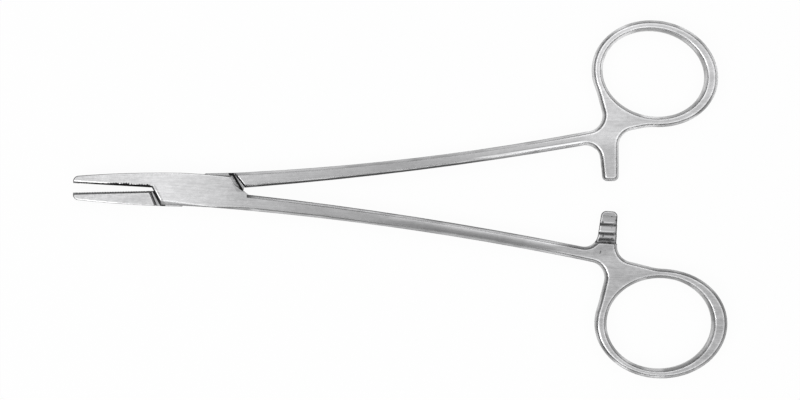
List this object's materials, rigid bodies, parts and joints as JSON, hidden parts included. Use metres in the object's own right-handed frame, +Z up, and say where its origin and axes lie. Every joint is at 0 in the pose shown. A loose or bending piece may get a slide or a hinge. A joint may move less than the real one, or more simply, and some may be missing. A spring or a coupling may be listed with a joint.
{
  "type": "surgical needle holder",
  "caption": "Ring-handled steel needle holder with serrated jaws, a box joint turning on a riveted pin, and facing ratchet arms between the finger rings.",
  "frame": {"origin": "on the axis of the joint pin, in the plane of the box joint's underside, which the holder lies on", "axes": "+X from the joint along the handles to the finger rings, +Z up along the joint pin's axis, +Y towards the male half's ring"},
  "size_m": [0.1507, 0.0821, 0.0048],
  "materials": {
    "forging": "satin brushed stainless steel",
    "pin": "ground flush with the cheeks, satin stainless steel"
  },
  "bodies": {
    "female": {"female_half": "forging", "joint_pin": "pin"},
    "male": {"male_half": "forging"}
  },
  "joints": [
    {"name": "box_joint", "type": "hinge", "parent": "female", "child": "male", "pos_m": [0, 0, 0], "axis": [0, 0, 1], "range_deg": [-4.4, 30]}
  ]
}
